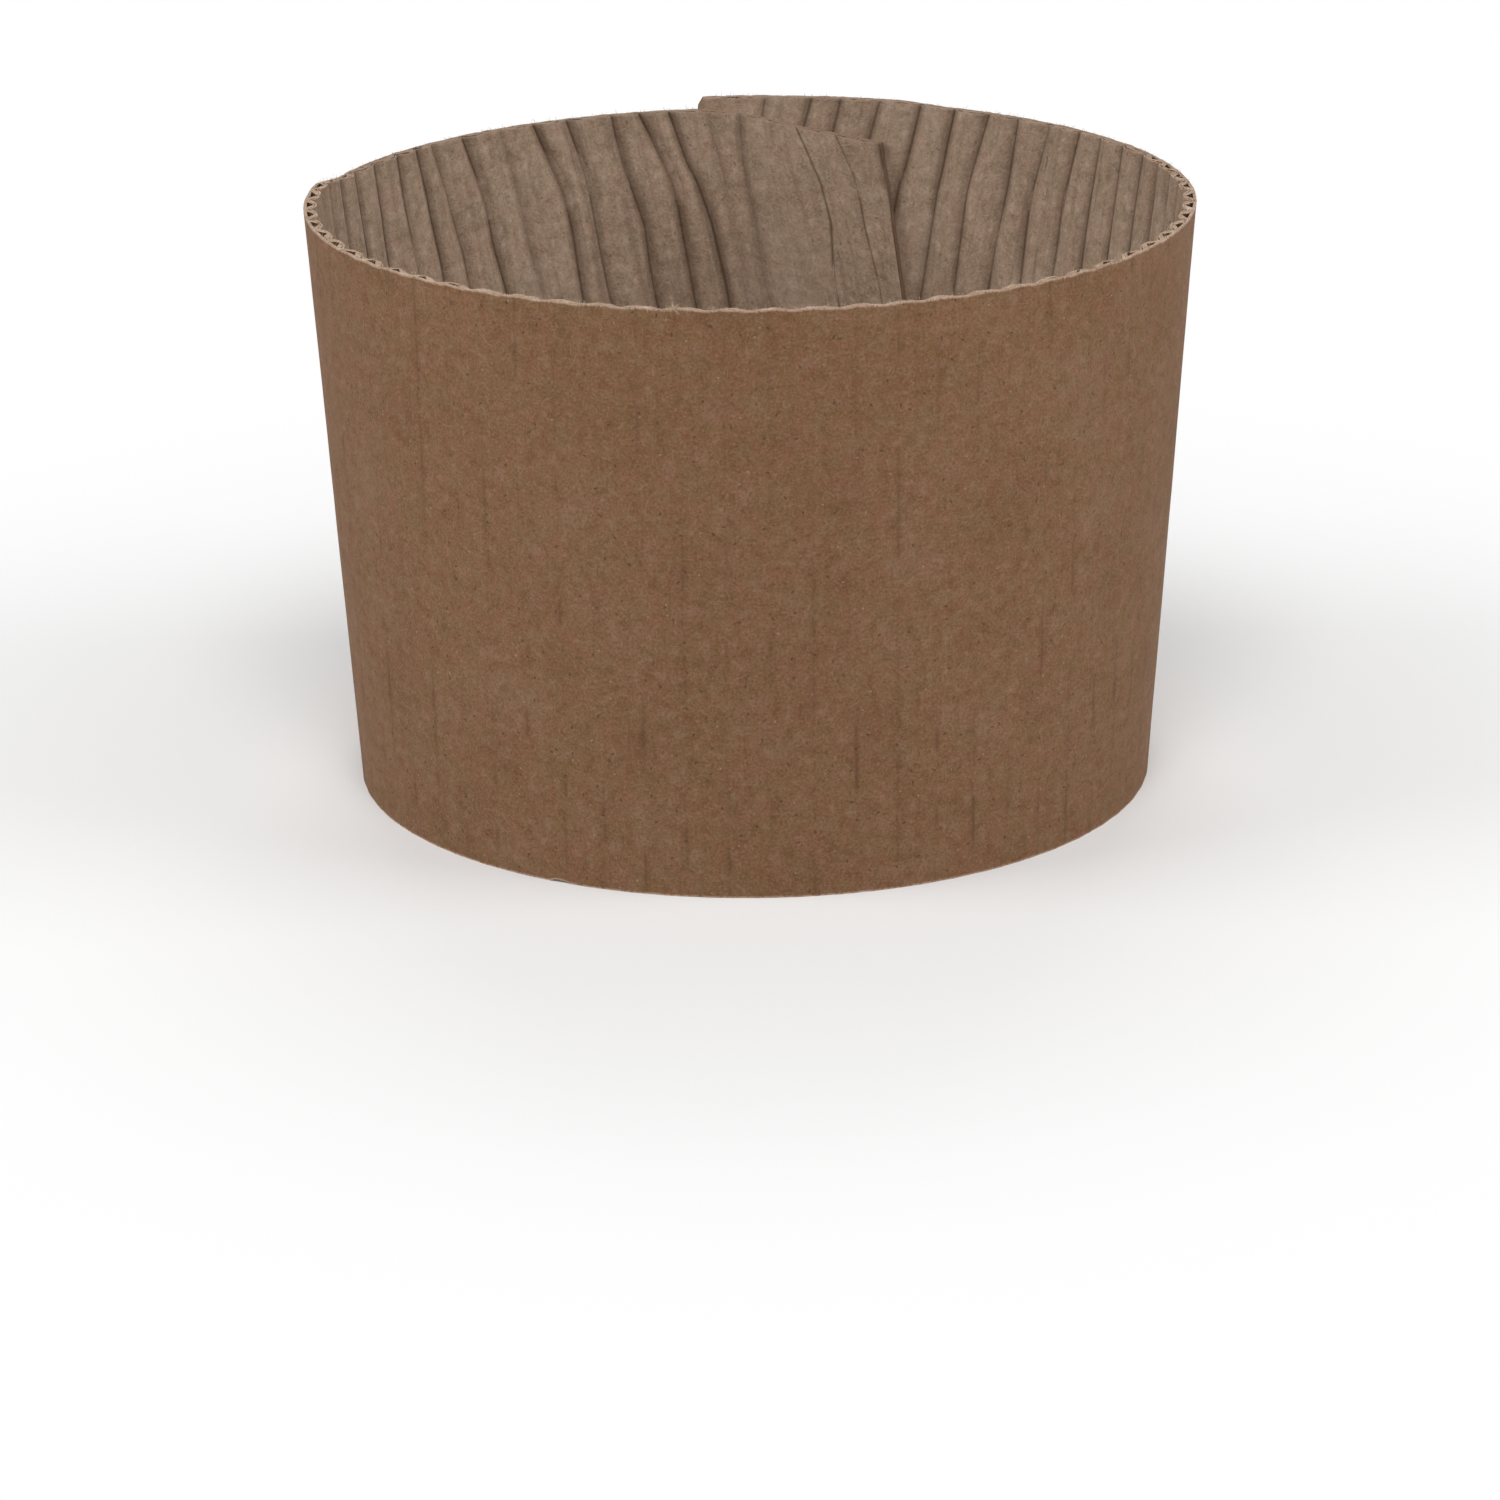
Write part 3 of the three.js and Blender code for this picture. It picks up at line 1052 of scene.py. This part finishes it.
OUTER_FACE = Kraft(
    name="kraft_outer_face",
    ruddy=linear(124, 87.5, 62),
    olive=linear(118.5, 90.5, 60),
    pale=linear(143, 115, 96),
    dark=linear(89, 55.5, 28),
    offset=0.0,
    mottle=0.42,
    grain=1.3,
    streaks=0.3,
    specks=0.85,
    flute_lines=0.82,
    relief=0.35,
    # pale rim along the cut edges, partly wear and partly painted highlight
    edge_wear_and_highlight=0.75,
)
INNER_FACE = Kraft(
    name="kraft_inner_face",
    ruddy=linear(165, 138, 118),
    olive=linear(155, 134, 112),
    pale=linear(196, 176, 158),
    dark=linear(116, 94, 75),
    offset=140.0,
    streaks=1.0,
    fibres=0.7,
    specks=0.5,
    # painted shade in the creases
    core=0.6,
    flanks=0.42,
    relief=0.5,
    edge_wear_and_highlight=0.3,
)
CUT_EDGE = Kraft(
    name="kraft_cut_edge",
    ruddy=linear(172, 142, 121),
    olive=linear(162, 138, 115),
    pale=linear(204, 183, 163),
    dark=linear(116, 88, 68),
    offset=70.0,
    mottle=0.8,
    fibres=1.0,
    specks=0.3,
    relief=1.0,
    # darker towards the back: painted shade
    behind=linear(136, 114, 96),
    roughness=0.93,
)
LOOSE_FIBRES = Kraft(
    name="loose_fibres",
    ruddy=linear(206, 184, 160),
    olive=linear(196, 178, 150),
    pale=linear(226, 210, 190),
    dark=linear(150, 122, 98),
    offset=90.0,
    fibres=0.0,
    # darker towards the back: painted shade
    behind=linear(160, 136, 114),
)
FLUTING = Kraft(
    name="kraft_fluting",
    ruddy=linear(100, 76, 56),
    olive=linear(94, 74, 54),
    pale=linear(122, 98, 78),
    dark=linear(66, 48, 34),
    offset=210.0,
    fibres=0.6,
    roughness=0.92,
)


@dataclass
class EdgeFibres:
    """Paper fibres that the die tore loose along the top edge, each one a thin bent tube.

    Angles are in degrees, a heading of 90 being straight up. The last tuft_count fibres stand in one tuft.
    """

    blank: Blank
    count: int = 1300
    tuft_count: int = 60
    tuft_line: float = -6.2
    tuft_spread: float = 0.18
    tuft_growth: float = 1.9
    tuft_depth: tuple[float, float] = (-0.02, 0.2)
    tuft_heading: tuple[float, float] = (5.0, 165.0)
    tuft_tilt: tuple[float, float] = (-0.5, -0.05)
    end_margin: float = 2.5
    outer_share: float = 0.62
    outer_depth: tuple[float, float] = (0.01, 0.26)
    inner_depth: float = 0.3
    inner_margin: float = 0.1
    root: float = 0.03
    lean: tuple[float, float] = (15.0, 80.0)
    bend: float = 110.0
    tilt: float = 0.45
    thickness: tuple[float, float] = (0.01, 0.022)
    length: tuple[float, float] = (0.14, 0.5)
    shortened: tuple[float, float] = (0.5, 1.0)
    tip: float = 0.45
    joints: int = 5
    sides: int = 4
    seed: int = 77

    def build(self, finish: bpy.types.Material) -> bpy.types.Object:
        """Makes the fibres.

        Args:
            finish: material of the fibres.

        Returns:
            The finished piece, riding on the body and standing for the solid.
        """
        cone, lap = self.blank.cone, self.blank.lap
        rng = np.random.default_rng(self.seed)
        angles = (self.end_margin - lap.tab_end, lap.outer_end - self.end_margin)
        ends = [float(cone.line_at(angle, cone.height)) for angle in angles]
        loose = rng.uniform(*ends, self.count)
        u = np.concatenate([loose, rng.normal(self.tuft_line, self.tuft_spread, self.tuft_count)])
        outer = rng.uniform(0.0, 1.0, u.size) < self.outer_share
        deepest = self.blank.board.thickness - self.inner_margin
        outer_depth = rng.uniform(*self.outer_depth, u.size)
        depth = np.where(outer, outer_depth, rng.uniform(self.inner_depth, deepest, u.size))
        length = rng.uniform(*self.length, u.size) * rng.uniform(*self.shortened, u.size)
        heading = rng.choice((-1, 1), u.size) * rng.uniform(*self.lean, u.size) + 90
        bend = np.radians(rng.uniform(-self.bend, self.bend, u.size))
        tilt = rng.uniform(-self.tilt, self.tilt, u.size)
        tuft = slice(self.count, None)
        length[tuft] *= self.tuft_growth
        depth[tuft] = rng.uniform(*self.tuft_depth, self.tuft_count)
        heading[tuft] = rng.uniform(*self.tuft_heading, self.tuft_count)
        tilt[tuft] = rng.uniform(*self.tuft_tilt, self.tuft_count)
        share = np.linspace(0, 1, self.joints)
        turn = np.radians(heading)[:, None] + bend[:, None] * share
        stride = (length / (self.joints - 1))[:, None]
        along = np.cumsum(np.cos(turn) * stride, axis=1) - np.cos(turn[:, :1]) * stride
        upward = np.cumsum(np.sin(turn) * stride, axis=1) - np.sin(turn[:, :1]) * stride
        base = self.blank.top_edge(cone.azimuth_of(u, cone.height)) - self.root
        lines, heights = u[:, None] + along, base[:, None] + upward
        depths = depth[:, None] + tilt[:, None] * length[:, None] * share
        centres = self.blank.place(lines, heights, depths)
        points, faces = self._tubes(centres, rng.uniform(*self.thickness, u.size) * MM)
        marks = np.stack([lines, heights, depths, *[np.ones_like(lines)] * 3], axis=-1)
        marks = np.repeat(marks.reshape(-1, marks.shape[-1]), self.sides, axis=0)
        mesh = _mesh("edge_fibres", points, faces, marks, len(faces))
        mesh.materials.append(finish)
        return _piece(mesh)

    def _tubes(self, centres: Grid, radius: Grid) -> tuple[Grid, list[Face]]:
        """Closed tubes along rows of points, thinner towards their ends.

        Args:
            centres: the points of each tube, in metres.
            radius: the radius of each tube at its root, in metres.

        Returns:
            The vertices and the faces.
        """
        ahead = np.gradient(centres, axis=1)
        ahead /= np.linalg.norm(ahead, axis=-1, keepdims=True)
        outward = centres[:, :1] * np.array([1.0, 1.0, 0.0])
        side = np.cross(ahead, outward / np.linalg.norm(outward, axis=-1, keepdims=True))
        side /= np.maximum(np.linalg.norm(side, axis=-1, keepdims=True), 1e-6)
        over = np.cross(ahead, side)
        taper = radius[:, None] * np.linspace(1, self.tip, self.joints)
        angles = np.arange(self.sides) / self.sides * math.tau
        ring = [side * math.cos(a) + over * math.sin(a) for a in angles]
        points = centres[:, :, None] + taper[:, :, None, None] * np.stack(ring, axis=2)
        faces: list[Face] = []
        for tube in range(len(centres)):
            start = tube * self.joints * self.sides
            end = start + (self.joints - 1) * self.sides
            faces.append(tuple(start + i for i in reversed(range(self.sides))))
            for low in range(start, end, self.sides):
                for i in range(self.sides):
                    j = (i + 1) % self.sides
                    faces.append((low + i, low + j, low + self.sides + j, low + self.sides + i))
            faces.append(tuple(end + i for i in range(self.sides)))
        return points.reshape(-1, 3), faces


def spaced(half: tuple[float, ...]) -> tuple[float, ...]:
    """Shares of the way across a flute, close together at both of its creases."""
    return half + tuple(1 - x for x in half[:0:-1])


EVEN_COLUMNS = tuple(np.arange(8) / 8)
FOLD_COLUMNS = spaced((0.0, 0.015, 0.04, 0.08, 0.15, 0.27, 0.42))
BACK_FOLD_COLUMNS = spaced((0.0, 0.012, 0.028, 0.05, 0.08, 0.12, 0.17, 0.22, 0.28, 0.35, 0.43))
CHANNEL_COLUMNS = tuple(sorted(spaced((0.0, 0.06, 0.13, 0.2, 0.2286, 0.28, 0.34, 0.4, 0.46)) + (0.5,)))


@dataclass(frozen=True)
class Ripple:
    """A slight unevenness of a face, with its cells a millimetre across and along the flutes."""

    strength: float
    across: float
    along: float
    seed: int
    lean: float = 0.0

    def at(self, point: Places) -> Grid:
        """How far it moves each point."""
        u, z = point.u, point.z
        return self.strength * value_noise(u * self.across - z * self.lean, z * self.along, self.seed)


@dataclass
class Sleeve:
    """The whole sleeve: two liners with the fluting between them, and the fibres of its cut edge.

    The channels are pressed nearly shut at the front, open up between the opening angles and are crushed
    again between the closing angles. Angles are in degrees from the front, the same on both sides.
    """

    blank: Blank
    creases: Creases
    pressed_share: float = 0.6
    skin: float = 0.014
    softness: Ripple = Ripple(0.012, 0.6, 0.35, seed=5)
    opening_angles: tuple[float, float] = (26.0, 52.0)
    closing_angles: tuple[float, float] = (98.0, 122.0)
    front_opening: float = 0.3
    back_crush: float = 0.75
    glue: float = 0.002
    least_fluting: float = 0.05
    inner_inset: float = 0.06
    wrinkles: tuple[Ripple, ...] = (Ripple(0.03, 0.9, 0.12, seed=21), Ripple(0.02, 1.9, 0.3, seed=22))
    slant: Ripple = Ripple(0.06, 0.75, 0.14, seed=23, lean=0.16)
    slant_from: tuple[float, float] = (80.0, 115.0)

    def outer_face(self, at: Places) -> Grid:
        """Depth of the outer liner's outer face, which sinks a little over each open flute.

        Args:
            at: points of the face.

        Returns:
            Their depths.
        """
        away = np.abs(at.line - np.floor(at.line) - 0.5) * 2
        return self.blank.board.washboard * (1 - smooth(away, 0, 1)) + self.skin + self.softness.at(at)

    def behind_outer_liner(self, at: Places) -> Grid:
        """Depth of the outer liner's back."""
        return np.full(at.line.shape, self.blank.board.outer_liner)

    def fluting_front(self, at: Places) -> Grid:
        """Depth of the fluting's side towards the outer liner: open channels at the sides, crushed elsewhere.

        Args:
            at: points of that side.

        Returns:
            Their depths.
        """
        board = self.blank.board
        azimuth = np.abs(self.blank.cone.azimuth_of(at.u, at.z))
        opened = self.front_opening + (1 - self.front_opening) * smooth(azimuth, *self.opening_angles)
        opened = opened * (1 - self.back_crush * smooth(azimuth, *self.closing_angles))
        return board.outer_liner + (board.channel(at.line) - board.outer_liner) * opened + self.glue

    def fluting_back(self, at: Places) -> Grid:
        """Depth of the fluting's side towards the inner liner.

        Args:
            at: points of that side.

        Returns:
            Their depths.
        """
        board = self.blank.board
        away = np.abs(at.line - np.round(at.line)) * board.pitch
        widening = np.exp(-((away / board.crease_slit_width) ** 2))
        slit = board.slit + (board.crease_slit - board.slit) * widening
        return np.maximum(self.behind_inner_liner(at) - slit, self.fluting_front(at) + self.least_fluting)

    def behind_inner_liner(self, at: Places) -> Grid:
        """Depth of the inner liner's back."""
        return self.inner_face(at) - self.blank.board.inner_liner

    def inner_face(self, at: Places) -> Grid:
        """Depth of the inner liner's face, creased once a flute and nearly flat where the lap presses it.

        Args:
            at: points of the face.

        Returns:
            Their depths.
        """
        azimuth = self.blank.cone.azimuth_of(at.u, at.z)
        pressed = 1 - self.pressed_share * self.blank.climb(azimuth, at.z)
        wrinkles = sum(ripple.at(at) for ripple in self.wrinkles)
        slanting = self.slant.at(at) * smooth(-azimuth, *self.slant_from)
        flat = self.blank.board.thickness - self.inner_inset
        return flat - self.creases.sink(at) * pressed + wrinkles + slanting

    def sheets(self) -> tuple[Sheet, Sheet, Sheet]:
        """The three papers.

        Returns:
            The outer liner, the fluting and the inner liner.
        """
        common = {"blank": self.blank, "creases": self.creases}
        outer = Sheet(
            "outer_liner", across=EVEN_COLUMNS, shown=self.outer_face, hidden=self.behind_outer_liner,
            shown_outside=True, seed=31, **common,
        )
        fluting = Sheet(
            "fluting", across=CHANNEL_COLUMNS, shown=self.fluting_front, hidden=self.fluting_back,
            shown_outside=True, seed=41, shown_step=10, hidden_step=10, ragged=0.08, sunk=0.08, **common,
        )
        inner = Sheet(
            "inner_liner", across=FOLD_COLUMNS, across_back=BACK_FOLD_COLUMNS, shown=self.inner_face,
            hidden=self.behind_inner_liner, shown_outside=False, seed=51, ragged=0.07, sunk=0.16, **common,
        )
        return outer, fluting, inner

    def build(self) -> list[bpy.types.Object]:
        """Makes the three papers and the fibres.

        Returns:
            The finished pieces.
        """
        outer, inner, cut, fluting = (
            finish.material() for finish in (OUTER_FACE, INNER_FACE, CUT_EDGE, FLUTING)
        )
        made = [sheet.build(face, cut) for sheet, face in zip(self.sheets(), (outer, fluting, inner))]
        made.append(EdgeFibres(self.blank).build(LOOSE_FIBRES.material()))
        for piece in made:
            log.info("%s: %d faces", piece.name, len(piece.data.polygons))
        return made


@dataclass(frozen=True)
class Camera:
    """The camera, placed from the cone's axis at the height of the bottom edge. Angles are in radians."""

    back: float = 450.0
    height: float = 159.82
    pitch: float = 0.33984
    yaw: float = 0.001
    roll: float = 0.00983
    focal_pixels: float = 5437.84
    image_pixels: float = 1500.0
    sensor: float = 36.0
    clip: tuple[float, float] = (0.01, 20.0)

    def build(self, axis: Vector) -> bpy.types.Object:
        """Adds the camera and makes it the scene's own.

        Args:
            axis: foot of the cone's axis, in metres.

        Returns:
            The camera.
        """
        data = bpy.data.cameras.new("camera")
        data.sensor_width = self.sensor
        data.lens = self.sensor * self.focal_pixels / self.image_pixels
        data.clip_start, data.clip_end = self.clip
        camera = bpy.data.objects.new("camera", data)
        bpy.context.scene.collection.objects.link(camera)
        ahead = Vector((-math.sin(self.yaw), math.cos(self.yaw), 0))
        across = Vector((math.cos(self.yaw), math.sin(self.yaw), 0))
        up = Vector((0, 0, 1))
        forward = math.cos(self.pitch) * ahead - math.sin(self.pitch) * up
        upward = math.sin(self.pitch) * ahead + math.cos(self.pitch) * up
        right = math.cos(self.roll) * across - math.sin(self.roll) * upward
        top = math.sin(self.roll) * across + math.cos(self.roll) * upward
        turn = Matrix((right, top, -forward)).transposed().to_4x4()
        place = axis + Vector((0, -self.back, self.height)) * MM
        camera.matrix_world = Matrix.Translation(place) @ turn
        bpy.context.scene.camera = camera
        return camera


@dataclass(frozen=True)
class Lamp:
    """One soft box, in metres and watts."""

    name: str
    place: tuple[float, float, float]
    size: float
    power: float

    def build(self, aim: Vector) -> None:
        """Adds the lamp.

        Args:
            aim: the point that it shines at, in metres.
        """
        data = bpy.data.lights.new(self.name, "AREA")
        data.shape = "SQUARE"
        data.size = self.size
        data.energy = self.power
        lamp = bpy.data.objects.new(self.name, data)
        bpy.context.scene.collection.objects.link(lamp)
        lamp.location = self.place
        lamp.rotation_euler = (aim - Vector(self.place)).to_track_quat("-Z", "Y").to_euler()


@dataclass(frozen=True)
class Studio:
    """A pale floor, a white surround and soft boxes, in metres."""

    floor_size: float = 6.0
    floor_shade: float = 0.9
    floor_roughness: float = 0.9
    floor_specular: float = 0.1
    surround: float = 0.29
    white_from: float = 0.044
    white_to: float = 0.13
    lamps: tuple[Lamp, ...] = (
        Lamp("key", (0.0, -0.55, 0.75), 0.45, 4.05),
        Lamp("side_left", (-0.9, -0.2, 0.5), 0.6, 4.25),
        Lamp("side_right", (0.9, -0.2, 0.5), 0.6, 4.0),
        Lamp("back", (0.0, 0.85, 0.6), 0.7, 3.2),
    )

    def build(self, aim: Vector) -> None:
        """Makes the floor, the world and the lamps.

        Args:
            aim: the point that the lamps shine at, in metres.
        """
        half = self.floor_size / 2
        mesh = bpy.data.meshes.new("floor")
        corners = [(-half, -half, 0), (half, -half, 0), (half, half, 0), (-half, half, 0)]
        mesh.from_pydata(corners, [], [(0, 1, 2, 3)])
        floor = bpy.data.objects.new("floor", mesh)
        bpy.context.scene.collection.objects.link(floor)
        mesh.materials.append(self._floor_finish())
        self._world()
        for lamp in self.lamps:
            lamp.build(aim)

    def _floor_finish(self) -> bpy.types.Material:
        """A pale matt floor that runs out into plain white around the sleeve and its shadow.

        Returns:
            The material.
        """
        w = Wiring("pale_floor")
        pale = {
            "Base Color": (self.floor_shade, self.floor_shade, self.floor_shade, 1),
            "Roughness": self.floor_roughness,
            "Specular IOR Level": self.floor_specular,
        }
        shader = w.node("ShaderNodeBsdfPrincipled", pale)
        place = w.node("ShaderNodeNewGeometry").outputs["Position"]
        away = w.node("ShaderNodeVectorMath", {0: place}, operation="LENGTH").outputs["Value"]
        rays = w.node("ShaderNodeLightPath")
        seen = w.times(w.ramp(away, self.white_from, self.white_to), rays.outputs["Is Camera Ray"])
        white = w.node("ShaderNodeEmission", {"Color": (1, 1, 1, 1), "Strength": 1.0})
        both = w.node("ShaderNodeMixShader", {0: seen, 1: shader.outputs[0], 2: white.outputs[0]})
        w.node("ShaderNodeOutputMaterial", {0: both.outputs[0]})
        return w.material

    def _world(self) -> None:
        """Makes the world: white to the camera and in reflections, and an even light on the sleeve."""
        world = bpy.data.worlds.new("surround")
        bpy.context.scene.world = world
        world.use_nodes = True
        tree = world.node_tree
        tree.nodes.clear()
        rays = tree.nodes.new("ShaderNodeLightPath")
        seen = tree.nodes.new("ShaderNodeMath")
        seen.operation = "MAXIMUM"
        tree.links.new(rays.outputs["Is Camera Ray"], seen.inputs[0])
        tree.links.new(rays.outputs["Is Glossy Ray"], seen.inputs[1])
        level = tree.nodes.new("ShaderNodeMapRange")
        level.inputs["To Min"].default_value = self.surround
        level.inputs["To Max"].default_value = 1.0
        tree.links.new(seen.outputs[0], level.inputs["Value"])
        back = tree.nodes.new("ShaderNodeBackground")
        tree.links.new(level.outputs[0], back.inputs["Strength"])
        out = tree.nodes.new("ShaderNodeOutputWorld")
        tree.links.new(back.outputs[0], out.inputs[0])


def main() -> None:
    """Builds the sleeve, the camera and the studio."""
    logging.basicConfig(level=logging.INFO, format="%(name)s: %(message)s")
    bpy.context.scene.view_settings.view_transform = "Standard"
    cone, board, lap = Cone(), Board(), Lap()
    low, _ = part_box(NODE)
    axis = Vector((0, low.y + cone.top_diameter / 2 * MM, 0))
    past_tab = 4
    first = math.floor(float(cone.line_at(-lap.tab_end - past_tab, cone.height)) / board.pitch) - 1
    last = math.ceil(float(cone.line_at(lap.outer_end, cone.height)) / board.pitch) + 1
    blank = Blank(cone, board, lap, axis)
    Sleeve(blank, Creases(blank, first, last)).build()
    Camera().build(axis)
    Studio().build(axis + Vector((0, 0, cone.height / 2 * MM)))


if __name__ == "__main__":
    main()
